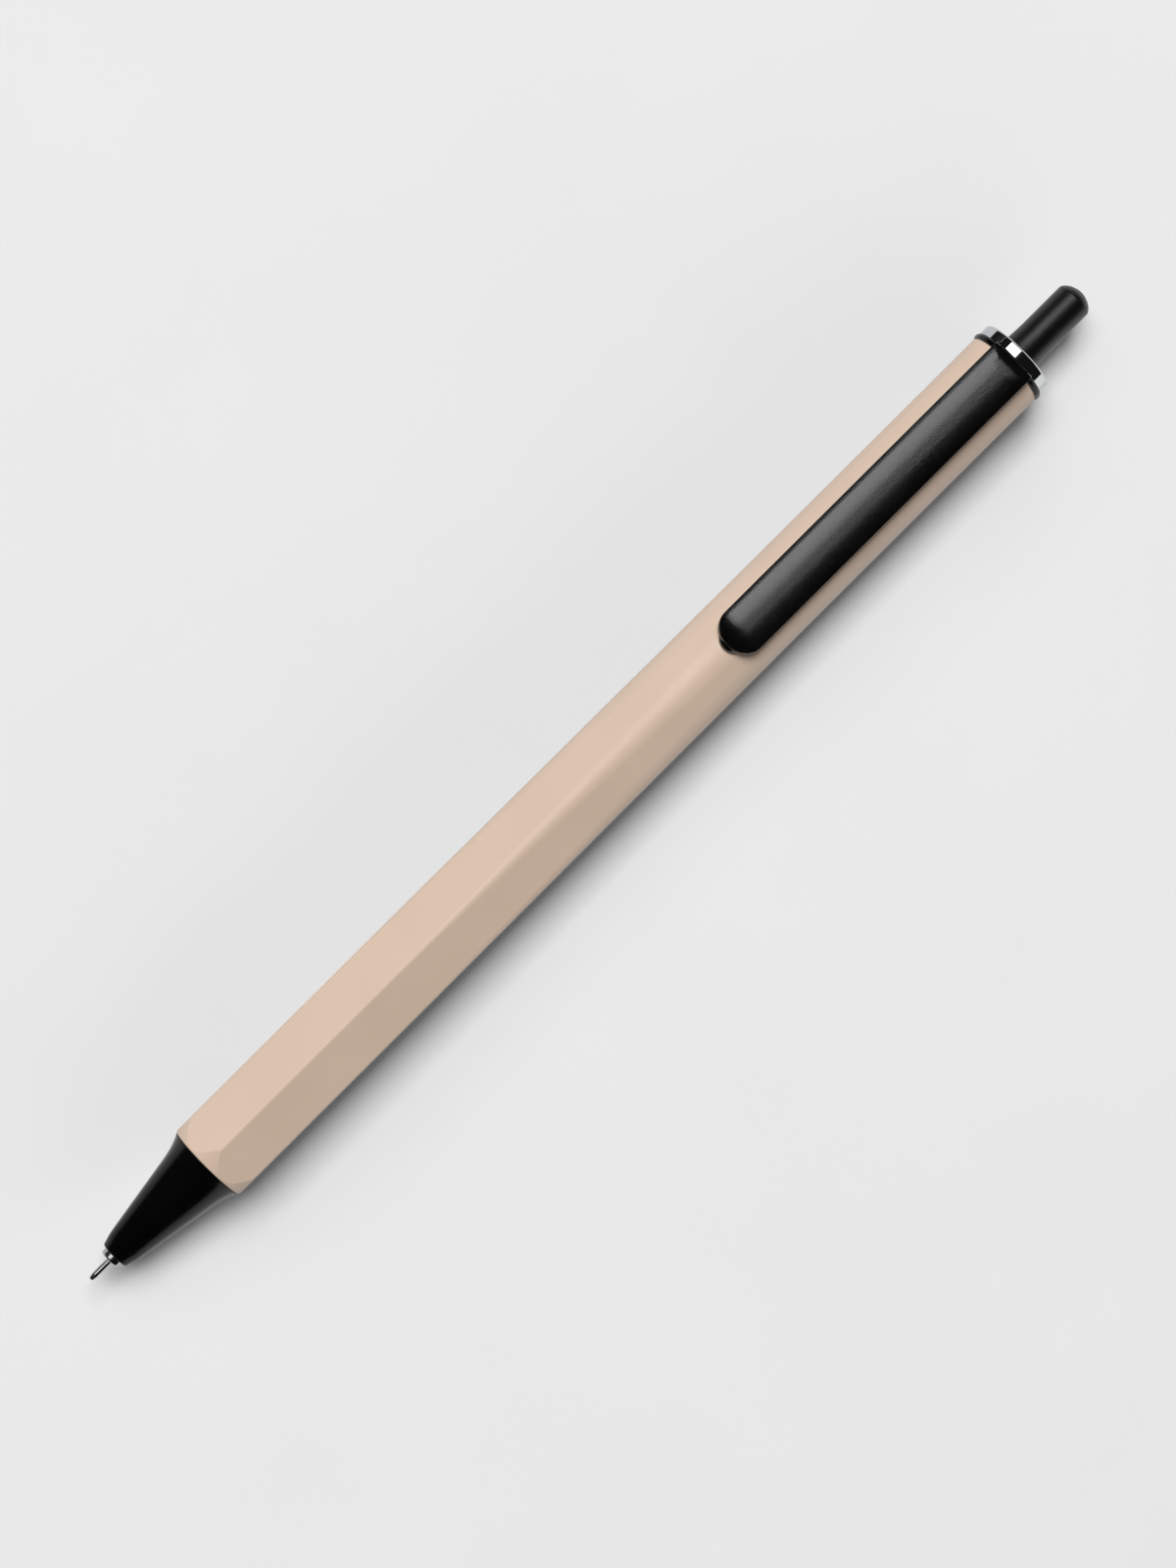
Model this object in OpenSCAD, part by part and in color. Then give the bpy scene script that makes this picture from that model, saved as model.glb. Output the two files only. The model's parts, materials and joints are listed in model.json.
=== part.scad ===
// Retractable gel rollerball pen with a six-sided barrel that turns round towards the clip.
// The pen lies along X on one of its flats, needle point at -X and push button at +X.
// An edge is in line with the clip, so the clip leans from +Z towards +Y.
// It is drawn with the needle point out. All lengths are in millimetres.

/* [Barrel] */
// Width across the flats of the six-sided front
barrel_flats = 9.0; // [8.6:0.1:10]
// Radius of the six long edges at the front
barrel_edge_r = 0.45; // [0.3:0.05:0.8]
// Diameter of the round rear
barrel_round_d = 8.74; // [8.5:0.02:9.5]
// Diameter of the turned front rim
barrel_rim_d = 8.9; // [8.5:0.05:9.2]
// Slope of the turned front end, in degrees from the axis
barrel_front_slope = 17; // [12:1:25]
// Length of the six-sided front before it starts to turn round
barrel_hex_length = 27.3; // [20:0.1:35]
// Length over which six sides turn into a circle
barrel_morph_length = 56; // [40:1:65]
// Width of the last trace of each flat where the circle begins
barrel_last_flat = 0.07; // [0.05:0.01:0.1]

/* [Nose] */
// Length of the nose cone in front of the barrel
nose_length = 13.25; // [12:0.05:15]
// Diameter of the nose at its mouth
nose_mouth_d = 3.16; // [3:0.02:3.6]
// Bevel on the rim of the mouth
nose_mouth_bevel = 0.1; // [0.05:0.01:0.15]
// Diameter behind the short shoulder at the mouth
nose_shoulder_d = 3.94; // [3.8:0.02:4.3]
// Length of the short shoulder at the mouth
nose_shoulder_length = 1.3; // [0.8:0.1:2]
// Diameter where the straight taper ends
nose_taper_d = 6.9; // [6.6:0.1:7.4]
// Diameter of the nose where it meets the barrel
nose_base_d = 8.8; // [8.4:0.1:9]
// Length of the flare between taper and barrel
nose_flare_length = 3.0; // [2:0.1:4]
// Length of flare that still follows the taper before it bends out
nose_flare_bend = 1.9; // [1.2:0.1:2]
// Length of the hole that guides the metal tip
nose_guide_length = 3.55; // [3:0.05:4.5]
// Distance from the mouth to the ledge that holds the spring
nose_ledge_depth = 7.05; // [6:0.05:8]
// Gap between the nose's spigot and the refill's collar when the button is pushed right down
nose_spigot_gap = 0.4; // [0.2:0.1:0.8]
// Bevel on the end of the nose's spigot
nose_spigot_bevel = 0.3; // [0.2:0.05:0.4]
// Smooth length of spigot in front of the thread
thread_relief = 1.2; // [0.8:0.1:1.6]
// Smooth length of spigot behind the thread
thread_lead = 0.4; // [0.3:0.1:0.8]
// Pitch of the right-hand nose thread
thread_pitch = 1.0; // [0.8:0.1:1.2]
// Height of the nose thread
thread_depth = 0.33; // [0.25:0.01:0.38]
// Width of the thread at its crest
thread_crest_width = 0.2; // [0.15:0.01:0.25]
// Width of the thread at its root
thread_root_width = 0.62; // [0.5:0.01:0.65]

/* [Refill] */
// Length of the refill, ball to tail
refill_length = 110; // [105:0.5:116]
// Outer diameter of the ink tube
refill_d = 6.0; // [5.6:0.1:6.2]
// Wall of the ink tube
refill_wall = 0.55; // [0.4:0.05:0.7]
// Distance from the ball to the collar that the spring pushes on
refill_collar_s = 25.6; // [24.8:0.1:27]
// Thickness of that collar
refill_collar_length = 1.0; // [0.6:0.1:1.4]
// Diameter of that collar
refill_collar_d = 5.8; // [5.4:0.1:5.9]
// Depth of the adapter's plug in the tube
adapter_plug_depth = 5.4; // [4:0.1:7]
// Diameter of the ink funnel in the adapter
adapter_funnel_d = 1.6; // [1:0.1:2]
// Length over which the funnel narrows
adapter_funnel_length = 2; // [1:0.1:3]
// Bevel on the adapter's front
adapter_bevel = 0.15; // [0.1:0.05:0.25]
// Length of the grease follower behind the ink
follower_length = 8; // [7:0.5:10]
// Diameter of the float in the follower
float_d = 3.2; // [2.4:0.1:3.6]
// Length of the float in the follower
float_length = 6; // [4:0.5:6.5]
// Length of air behind the follower
air_length = 7; // [4:0.5:40]
// Length of the tail plug's cap
tail_length = 3.0; // [2:0.1:4]
// Depth of the tail plug in the tube
tail_depth = 4; // [3:0.1:5]
// Diameter of the air vent in the tail plug
tail_vent_d = 1.0; // [0.6:0.1:1.4]
// Bevel on the tail plug
tail_bevel = 0.3; // [0.2:0.05:0.5]

/* [Writing tip] */
// Diameter of the writing ball
ball_d = 0.5; // [0.4:0.05:0.55]
// Outer diameter of the needle pipe
needle_d = 0.7; // [0.66:0.02:0.8]
// Length of needle in front of the metal tip
needle_out = 2.75; // [2:0.05:3.2]
// Length of the needle's rounded front
needle_taper = 0.6; // [0.5:0.05:0.9]
// Width of the needle's rolled rim
needle_rim = 0.02; // [0.01:0.01:0.04]
// How far the rolled rim reaches round the ball, in degrees from the back
needle_lip_turn = 120; // [110:1:130]
// Diameter of the ink bore in the needle
needle_bore_d = 0.36; // [0.3:0.02:0.38]
// Depth of the needle in the metal tip
needle_depth = 3.75; // [3:0.05:4.5]
// Diameter of the metal tip
shank_d = 2.4; // [2.3:0.05:2.5]
// Length of the metal tip's full diameter
shank_length = 6.25; // [5:0.05:7]
// Rounding of the metal tip's front edge
shank_edge_r = 0.25; // [0.15:0.05:0.4]
// Diameter of the metal tip's tail in the adapter
shank_tail_d = 1.8; // [1.7:0.05:2]
// Wall between the ball spring and the end of the tail
shank_end_wall = 0.5; // [0.3:0.1:0.8]
// Diameter of the ink channel behind the metal tip
ink_channel_d = 0.6; // [0.4:0.05:0.8]
// Diameter of the chamber of the ball spring
ball_chamber_d = 1.2; // [1.1:0.05:1.3]
// Wire diameter of the ball spring
ball_wire_d = 0.12; // [0.1:0.01:0.14]
// Mean radius of the ball spring's coil
ball_coil_r = 0.4; // [0.35:0.01:0.45]
// Pitch of the ball spring's coil
ball_coil_pitch = 0.76; // [0.74:0.01:0.8]
// Number of turns of the ball spring
ball_coil_turns = 7; // [5:1:8]
// Straight wire between the needle's end and the coil
ball_coil_lead = 0.3; // [0.2:0.05:0.5]

/* [Return spring] */
// Wire diameter of the return spring
spring_wire_d = 0.4; // [0.3:0.02:0.42]
// Mean radius of the return spring
spring_mean_r = 1.85; // [1.8:0.05:1.95]
// Number of turns of the return spring
spring_turns = 11; // [8:1:12]
// Pitch of the first and last turn
spring_end_pitch = 0.85; // [0.84:0.01:0.95]
// Gap between the spring and the adapter inside it
spring_inner_gap = 0.2; // [0.1:0.05:0.3]
// Gap between the spring and the nose around it
spring_outer_gap = 0.15; // [0.1:0.05:0.2]

/* [Click mechanism] */
// How far the needle point stands out of the nose
tip_out = 3.45; // [3.2:0.05:4]
// Travel of the button between point out and point in
button_travel = 4.5; // [3.6:0.1:5]
// Extra travel when the button is pushed right down
over_press = 1.2; // [0.8:0.1:1.6]
// Length of button that shows while the point is out
button_out = 9.2; // [8:0.1:11]
// Diameter of the button
button_d = 4.0; // [3.8:0.1:4.1]
// Diameter of the button where it leaves the top ring
button_base_d = 4.3; // [4.2:0.05:4.5]
// Length over which the button narrows above the top ring
button_flare_length = 3; // [2:0.1:4]
// Height of the dome on the button
button_dome = 1.0; // [0.6:0.1:1.4]
// Thickness of the button's top under the dome
button_top = 4; // [2:0.1:5]
// Step from the ring's hole to the plunger that it stops
plunger_step = 0.17; // [0.12:0.01:0.3]
// Length of the plunger's crown and keys
plunger_length = 4.7; // [4.2:0.1:5.5]
// Diameter of the plunger's stem in the button
plunger_stem_d = 3.2; // [3:0.05:3.4]
// Length of the plunger's stem
plunger_stem_length = 11; // [8:0.5:12]
// Diameter of the plunger's bore
plunger_bore_d = 2.6; // [2.4:0.05:2.7]
// Depth of the plunger's bore past its shoulder
plunger_bore_depth = 4; // [3:0.1:6]
// Length of the rotor's hub
rotor_length = 6.5; // [6:0.1:7.5]
// Length of the stem between rotor and refill
rotor_stem_length = 3.0; // [2.5:0.1:4]
// Diameter of that stem
rotor_stem_d = 3.0; // [2.6:0.1:3.4]
// Reach of the rotor's pin past the plunger's shoulder
rotor_pin_reach = 1.5; // [1:0.1:2.5]
// Distance from the rotor's hub to the lock notches of the ribs
rib_distance = 4.65; // [4.4:0.05:5]
// Plain hub below the rotor's keys, and plain crown below the plunger's keys
key_inset = 1.0; // [0.8:0.1:1.2]
// Number of teeth on the crowns of plunger and rotor
crown_teeth = 8; // [6:1:8]
// Depth of the crown's notches
crown_depth = 0.6; // [0.4:0.05:0.7]
// Width of the crown's notches
crown_width = 1.1; // [0.9:0.05:1.2]
// Gap between the two crowns
crown_gap = 0.15; // [0.1:0.05:0.3]
// Wall of the guide sleeve
sleeve_wall = 0.4; // [0.3:0.02:0.5]
// Distance from the refill's tail to the guide sleeve
sleeve_lead = 0.95; // [0.5:0.05:1.5]
// Width of the slots in the guide sleeve
slot_width = 1.5; // [1.3:0.05:1.7]

/* [Clip and top] */
// Width of the clip
clip_width = 5.1; // [4.6:0.1:5.6]
// Length of the clip with its root
clip_length = 41.1; // [36:0.1:46]
// Thickness of the clip arm
clip_thickness = 1.15; // [0.9:0.05:1.4]
// Gap between the clip arm and the round barrel
clip_gap = 0.75; // [0.5:0.05:1]
// Length of the fixed root of the clip
clip_root_length = 5.4; // [4.5:0.1:7]
// Radius of the clip's front corners
clip_corner_r = 2.2; // [1.2:0.1:2.25]
// Length of the foot that rests on the barrel
clip_foot_length = 3.2; // [2.4:0.1:4]
// Bevel around the foot
clip_foot_bevel = 0.2; // [0.1:0.05:0.3]
// How far the clip's front end leans back
clip_front_slant = 0.6; // [0.3:0.1:1]
// Length of the slanted rear end
clip_end_bevel = 1.3; // [0.8:0.1:1.8]
// Height of the upright face below the slanted rear end
clip_end_height = 0.25; // [0.1:0.05:0.4]
// Width of the bevel on the clip's sides
clip_side_bevel = 0.35; // [0.2:0.05:0.5]
// Height of the bevel on the clip's sides
clip_side_height = 0.4; // [0.2:0.05:0.5]
// Rise of the clip's top in the middle
clip_crown = 0.12; // [0.06:0.02:0.2]
// Thickness of the clip's collar ring
collar_thickness = 0.65; // [0.5:0.05:0.9]
// Diameter of the clip's collar ring
collar_d = 9.1; // [8.9:0.05:9.6]
// Thickness of the top ring's flange
ring_thickness = 1.3; // [1:0.1:1.6]
// Diameter of the top ring
ring_d = 8.8; // [8.4:0.1:9]
// Bevel on the top ring
ring_bevel = 0.25; // [0.15:0.05:0.4]
// Length of the top ring's spigot in the barrel
ring_spigot_length = 3.15; // [2.6:0.05:4]

/* [Fits] */
// Gap on each side of pieces that are pressed or glued together
press_gap = 0.02; // [0.01:0.01:0.03]
// Gap on each side of pieces that slide or turn
run_gap = 0.08; // [0.06:0.01:0.1]
// Gap between faces that meet
face_gap = 0.05; // [0.03:0.01:0.08]
// Gap left at each end of the button's travel
stop_gap = 0.1; // [0.08:0.01:0.2]
// Gap between the two nose threads
thread_gap = 0.08; // [0.06:0.01:0.1]
// Gap around the ink tube inside the thread
land_gap = 0.12; // [0.1:0.01:0.15]
// Gap around the ink tube in the barrel
refill_gap = 0.2; // [0.16:0.02:0.3]
// Gap around the adapter in the nose
adapter_gap = 0.25; // [0.15:0.05:0.3]

/* [Hidden] */
$fn = 96;
// How far a cutting shape runs past the face that it cuts
cut = 0.1;

// Distances along the pen, counted from the front of the ball
nose_s = tip_out;
barrel_s = nose_s + nose_length;
ledge_s = nose_s + nose_ledge_depth;
spigot_end_s = refill_collar_s - over_press - nose_spigot_gap;
tube_s = refill_collar_s + refill_collar_length;
tube_end_s = refill_length - tail_length;
rotor_s = refill_length + face_gap;
hub_s = rotor_s + rotor_stem_length;
rib_s = hub_s + rib_distance;
rotor_crown_s = hub_s + rotor_length;
plunger_s = rotor_crown_s + crown_gap;
shoulder_s = plunger_s + plunger_length;
ring_spigot_s = shoulder_s + button_travel + stop_gap;
ring_s = ring_spigot_s + ring_spigot_length;
collar_s = ring_s - collar_thickness;
ring_end_s = ring_s + ring_thickness;
pen_length = ring_end_s + button_out;
sleeve_s = refill_length + sleeve_lead;
sleeve_end_s = ring_spigot_s - face_gap;

// Radii shared by pieces that fit together
refill_r = refill_d / 2;
tube_bore_r = refill_r - refill_wall;
plug_r = tube_bore_r - press_gap;
land_r = refill_r + land_gap;
spigot_r = land_r - thread_gap;
chamber_r = refill_r + run_gap;
sleeve_r = chamber_r + sleeve_wall;
rear_bore_r = sleeve_r + press_gap;
key_r = chamber_r - run_gap;
key_width = slot_width - 2 * run_gap;
ring_hole_r = button_base_d / 2 + run_gap;
plunger_r = ring_hole_r + plunger_step;
plunger_bore_r = plunger_bore_d / 2;
rib_r = plunger_r + run_gap;
button_bore_r = plunger_stem_d / 2 + press_gap;
shank_r = shank_d / 2;
nose_guide_r = shank_r + run_gap;
adapter_r = spring_mean_r - spring_wire_d / 2 - spring_inner_gap;
nose_bore_r = adapter_r + adapter_gap;
spring_bore_r = spring_mean_r + spring_wire_d / 2 + spring_outer_gap;
needle_r = needle_d / 2;
ball_r = ball_d / 2;

// The barrel's section: six sides with rounded edges that grow into a circle
flat_r = barrel_flats / 2;
round_r = barrel_round_d / 2;
morph_s = barrel_s + barrel_hex_length;
morph_end_s = morph_s + barrel_morph_length;
morph_rings = 9;
morph_ease = 1.2;
edge_steps = 8;
function edge_reach(flat, edge) = (flat - edge) / cos(30) + edge;
function morph_share(s) = min(1, max(0, (s - morph_s) / barrel_morph_length));
function morph_flat(s) = flat_r + (round_r - flat_r) * morph_share(s);
function morph_edge(s) =
    barrel_edge_r + (round_r - barrel_last_flat - barrel_edge_r) * pow(morph_share(s), morph_ease);
function barrel_top(s) = edge_reach(morph_flat(s), morph_edge(s));
function polar(r, a) = [r * cos(a), r * sin(a)];
function six_sides(flat, edge) = [
    for (k = [0:5], j = [0:edge_steps])
        polar((flat - edge) / cos(30), 60 * k) + polar(edge, 60 * k - 30 + 60 * j / edge_steps)
];

// Faces of a skin over rings of points that follow one another, closed at both ends
function skin_faces(rings, sides) = concat(
    [[for (j = [0:sides - 1]) j]],
    [for (i = [0:rings - 2], j = [0:sides - 1])
        let (a = i * sides + j, b = i * sides + (j + 1) % sides)
        each [[a, a + sides, b + sides], [a, b + sides, b]]],
    [[for (j = [sides - 1:-1:0]) (rings - 1) * sides + j]]
);

// A wire of six sides along a path, with an outward direction at each point of the path
wire_sides = 6;
curl_rings = 8;
function unit(v) = v / norm(v);
function level(xy, z) = [xy[0], xy[1], z];
function wire_points(path, outward, r) = [
    for (i = [0:len(path) - 1])
        let (ahead = path[min(i + 1, len(path) - 1)], behind = path[max(i - 1, 0)])
        let (t = unit(ahead - behind), n = unit(outward[i] - (outward[i] * t) * t), b = cross(t, n))
        for (k = [0:wire_sides - 1]) let (side = polar(r, 360 * k / wire_sides))
            path[i] + side[0] * n + side[1] * b
];
function least_gap(path, wire_d) = min([
    for (i = [0:len(path) - 1], j = [i + curl_rings / 2 + 1:1:len(path) - 1]) norm(path[i] - path[j])
]) - wire_d;
module wire(path, outward, r)
    polyhedron(wire_points(path, outward, r), skin_faces(len(path), wire_sides));

// Return spring between the nose's ledge and the refill's collar, with closer turns at both ends
spring_s = ledge_s + spring_wire_d / 2 + press_gap;
spring_reach = refill_collar_s - spring_wire_d / 2 - press_gap - spring_s;
spring_pitch = (spring_reach - 2 * spring_end_pitch) / (spring_turns - 2);
function spring_height(u) =
    u < 1 ? spring_end_pitch * u
    : u < spring_turns - 1 ? spring_end_pitch + spring_pitch * (u - 1)
    : spring_reach - spring_end_pitch * (spring_turns - u);
spring_curls = [for (i = [0:spring_turns * curl_rings]) i / curl_rings];
spring_path = [for (u = spring_curls) level(polar(spring_mean_r, 360 * u), spring_s + spring_height(u))];
spring_outward = [for (u = spring_curls) level(polar(1, 360 * u), 0)];
echo(return_spring_least_gap = least_gap(spring_path, spring_wire_d));

// Ball spring: a straight rod through the needle that widens into a small coil
needle_end_s = needle_out + needle_depth;
ball_coil_s = needle_end_s + ball_coil_lead;
ball_chamber_end_s = ball_coil_s + ball_coil_turns * ball_coil_pitch + ball_wire_d;
ball_curls = [for (i = [0:ball_coil_turns * curl_rings]) i / curl_rings];
ball_path = concat([[0, 0, ball_d + press_gap]], [
    for (u = ball_curls) level(polar(ball_coil_r * min(1, u), 360 * u), ball_coil_s + ball_coil_pitch * u)
]);
ball_outward = concat([[1, 0, 0]], [for (u = ball_curls) level(polar(1, 360 * u), 0)]);
echo(ball_spring_least_gap = least_gap(ball_path, ball_wire_d));

// Helical ridge of the nose thread, widened on its flanks for the groove that takes it
thread_segments = 24;
thread_fade = 0.4;
thread_s = barrel_s + thread_relief;
thread_turns = floor(2 * (spigot_end_s - thread_lead - thread_s) / thread_pitch) / 2;
thread_crest_r = spigot_r + thread_depth;
thread_sunk = thread_depth / 2;
land_end_s = spigot_end_s + thread_pitch / 2;
function thread_points(root_r, crest_r, widen, s0, turns, fade) = [
    for (i = [0:turns * thread_segments])
        let (u = i / thread_segments, z = s0 + thread_pitch * u)
        let (share = fade > 0 ? min(1, u / fade, (turns - u) / fade) : 1)
        let (crest = root_r + press_gap + (crest_r - root_r - press_gap) * share)
        let (root_half = thread_root_width / 2 + widen, crest_half = thread_crest_width / 2 + widen)
        for (p = [[crest, -crest_half], [root_r, -root_half], [root_r, root_half], [crest, crest_half]])
            level(polar(p[0], 360 * u), z + p[1])
];
module thread(root_r, crest_r, widen, s0, turns, fade) {
    points = thread_points(root_r, crest_r, widen, s0, turns, fade);
    polyhedron(points, skin_faces(len(points) / 4, 4));
}

// Clip: heights are counted from the pen's axis
clip_end_s = ring_s - face_gap;
clip_s = clip_end_s - clip_length;
clip_hinge_s = clip_end_s - clip_root_length;
clip_low = round_r + clip_gap;
clip_top = clip_low + clip_thickness;
clip_root_low = round_r + face_gap;
clip_hinge_h = (clip_low + clip_top) / 2;
clip_knuckle_r = clip_thickness / 2;
clip_foot = barrel_top(clip_s) + face_gap;

// Places that start at the front of the ball: with the clip at +Z, or turned so that +Z runs along the pen.
// The whole then leans by half a side of the barrel, from an edge to a flat
axis_height = max(flat_r, collar_d / 2);
clip_lean = 60 / 2;
module from_tip() translate([-pen_length / 2, 0, axis_height]) rotate([-clip_lean, 0, 0]) children();
module along_pen() from_tip() rotate([0, 90, 0]) children();
module turned(points) rotate_extrude() polygon(points);
module rod(r, s0, s1) translate([0, 0, s0]) cylinder(r = r, h = s1 - s0);

// Prisms that point outwards, and copies around the axis
module outward_prism(points, r) rotate([90, 0, 90]) linear_extrude(height = r) polygon(points);
module around(count, turn = 0) for (k = [0:count - 1]) rotate([0, 0, turn + 360 * k / count]) children();

// V notches in the end of a crown, cut towards +s or -s
module crown_notches(s, way) translate([0, 0, s]) around(crown_teeth) outward_prism(
    [[-crown_width / 2, -way * cut], [crown_width / 2, -way * cut], [0, way * crown_depth]],
    plunger_r + cut);

// Four keys that run in the slots of the guide sleeve, each with a peak
module keys(s0, s1, peak) intersection() {
    rod(key_r, s0, s1 + peak);
    translate([0, 0, s0]) around(4) outward_prism(
        [[-key_width / 2, 0], [key_width / 2, 0], [key_width / 2, s1 - s0], [0, s1 - s0 + peak],
         [-key_width / 2, s1 - s0]], key_r + cut);
}

// The front end is turned to a cone of many narrow flats, which cuts a scallop into each of the six sides
front_sides = 72;
function front_ring(r, s) = [for (j = [0:front_sides - 1]) level(polar(r, 360 * j / front_sides), s)];
module turned_front() {
    rim_r = barrel_rim_d / 2;
    wide_r = rim_r + barrel_hex_length * tan(barrel_front_slope);
    polyhedron(concat(front_ring(rim_r, barrel_s), front_ring(wide_r, morph_s)), skin_faces(2, front_sides));
}

module barrel_skin() {
    front = six_sides(flat_r, barrel_edge_r);
    rings = [
        for (i = [0:morph_rings - 1]) let (s = morph_s + barrel_morph_length * i / (morph_rings - 1))
            for (p = six_sides(morph_flat(s), morph_edge(s))) level(p, s)
    ];
    intersection() {
        translate([0, 0, barrel_s]) linear_extrude(height = barrel_hex_length) polygon(front);
        turned_front();
    }
    polyhedron(rings, skin_faces(morph_rings, len(front)));
    rod(round_r, morph_end_s, collar_s);
}

module barrel() color([0.82, 0.74, 0.65]) along_pen() difference() {
    barrel_skin();
    rod(land_r, barrel_s - cut, land_end_s + cut);
    thread(land_r - thread_sunk, thread_crest_r + thread_gap, thread_gap, thread_s - 2 * thread_pitch,
           ceil((land_end_s - thread_s) / thread_pitch) + 2, 0);
    rod(refill_r + refill_gap, land_end_s, collar_s + cut);
    rod(rear_bore_r, sleeve_s - face_gap, collar_s + cut);
}

module nose_cone() color([0.16, 0.16, 0.16]) along_pen() {
    base_s = barrel_s - face_gap;
    taper = [nose_taper_d / 2, barrel_s - nose_flare_length];
    shoulder = [nose_shoulder_d / 2, nose_s + nose_shoulder_length];
    bend = taper + (taper - shoulder) * nose_flare_bend / (taper[1] - shoulder[1]);
    flare = [for (i = [1:8]) let (u = i / 8)
        (1 - u) * (1 - u) * taper + 2 * u * (1 - u) * bend + u * u * [nose_base_d / 2, base_s]];
    turned(concat(
        [[nose_guide_r, nose_s], [nose_mouth_d / 2 - nose_mouth_bevel, nose_s],
         [nose_mouth_d / 2, nose_s + nose_mouth_bevel], shoulder, taper],
        flare,
        [[spigot_r, base_s], [spigot_r, spigot_end_s - nose_spigot_bevel],
         [spigot_r - nose_spigot_bevel, spigot_end_s], [spring_bore_r, spigot_end_s],
         [spring_bore_r, ledge_s], [nose_bore_r, ledge_s], [nose_bore_r, nose_s + nose_guide_length],
         [nose_guide_r, nose_s + nose_guide_length]]));
    thread(spigot_r - thread_sunk, thread_crest_r, 0, thread_s, thread_turns, thread_fade);
}

// Cross-section of the clip above a height, with bevelled sides and a slight crown
module clip_section(low, s0, s1) translate([s0, 0, 0]) outward_prism(concat(
    [[-clip_width / 2, low], [clip_width / 2, low],
     [clip_width / 2, clip_top - clip_crown - clip_side_height]],
    [for (i = [0:6]) let (share = 1 - i / 3)
        [(clip_width / 2 - clip_side_bevel) * share, clip_top - clip_crown * share * share]],
    [[-clip_width / 2, clip_top - clip_crown - clip_side_height]]), s1 - s0);

// Side view of a clip piece, drawn in (s, height) and given the clip's width
module across_clip() translate([0, clip_width / 2 + cut, 0]) rotate([90, 0, 0])
    linear_extrude(height = clip_width + 2 * cut) children();
module knuckle(r) across_clip() translate([clip_hinge_s, clip_hinge_h]) circle(r = r);

// Plan of the clip's arm, with round front corners
module clip_plan() {
    translate([clip_s + clip_corner_r, -clip_width / 2]) square([clip_length, clip_width]);
    translate([clip_s, clip_corner_r - clip_width / 2])
        square([clip_length, clip_width - 2 * clip_corner_r]);
    for (side = [-1, 1])
        translate([clip_s + clip_corner_r, side * (clip_width / 2 - clip_corner_r)])
            circle(r = clip_corner_r);
}

module clip_arm() color([0.15, 0.15, 0.15]) from_tip() intersection() {
    union() {
        across_clip() polygon([
            [clip_s + clip_front_slant, clip_top], [clip_s, clip_foot + clip_foot_bevel],
            [clip_s + clip_foot_bevel, clip_foot], [clip_s + clip_foot_length / 2, clip_foot],
            [clip_s + clip_foot_length, clip_low], [clip_hinge_s, clip_low], [clip_hinge_s, clip_top]]);
        knuckle(clip_knuckle_r);
    }
    clip_section(clip_foot - cut, clip_s - cut, clip_end_s);
    translate([0, 0, clip_foot - cut]) linear_extrude(height = clip_top - clip_foot + 2 * cut) clip_plan();
}

module clip_collar() color([0.15, 0.15, 0.15]) {
    along_pen() difference() {
        rod(collar_d / 2, collar_s, ring_s);
        rod(rear_bore_r, collar_s - cut, ring_s + cut);
    }
    from_tip() difference() {
        intersection() {
            across_clip() polygon([
                [clip_hinge_s, clip_root_low], [clip_end_s, clip_root_low],
                [clip_end_s, clip_root_low + clip_end_height], [clip_end_s - clip_end_bevel, clip_top + cut],
                [clip_hinge_s, clip_top + cut]]);
            clip_section(clip_root_low - cut, clip_hinge_s - cut, clip_end_s + cut);
        }
        knuckle(clip_knuckle_r + face_gap);
    }
}

module top_ring() color([0.8, 0.8, 0.8]) along_pen() turned([
    [ring_hole_r, ring_spigot_s], [sleeve_r, ring_spigot_s], [sleeve_r, ring_s], [ring_d / 2, ring_s],
    [ring_d / 2, ring_end_s - ring_bevel], [ring_d / 2 - ring_bevel, ring_end_s],
    [ring_hole_r, ring_end_s]]);

// The slots open into a wider chamber, where the rotor can turn; the ribs between them have lock notches
module guide_sleeve() color([0.85, 0.85, 0.83]) along_pen() difference() {
    slot_length = sleeve_end_s - rib_s + 2 * cut;
    rod(sleeve_r, sleeve_s, sleeve_end_s);
    rod(rib_r, sleeve_s - cut, sleeve_end_s + cut);
    rod(chamber_r, sleeve_s - cut, rib_s);
    intersection() {
        rod(chamber_r, rib_s - cut, sleeve_end_s + cut);
        union() {
            translate([0, 0, rib_s - cut]) around(4) outward_prism(
                [[-slot_width / 2, 0], [slot_width / 2, 0], [slot_width / 2, slot_length],
                 [-slot_width / 2, slot_length]], chamber_r + cut);
            translate([0, 0, rib_s]) around(4, 45) outward_prism(
                [[-slot_width / 2, -cut], [slot_width / 2, -cut], [0, crown_depth]], chamber_r + cut);
        }
    }
}

module button() color([0.13, 0.13, 0.13]) along_pen() {
    button_r = button_d / 2;
    bore_end_s = pen_length - button_dome - button_top;
    dome_r = (button_r * button_r + button_dome * button_dome) / (2 * button_dome);
    dome_turn = asin(button_r / dome_r);
    turned(concat(
        [[button_bore_r, shoulder_s], [button_base_d / 2, shoulder_s]],
        [for (i = [0:6]) let (u = i / 6, flare = (button_base_d / 2 - button_r) * (1 - u) * (1 - u))
            [button_r + flare, ring_end_s + button_flare_length * u]],
        [for (i = [0:8]) let (a = dome_turn * (1 - i / 8))
            [dome_r * sin(a), pen_length - dome_r * (1 - cos(a))]],
        [[0, bore_end_s], [button_bore_r, bore_end_s]]));
}

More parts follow.
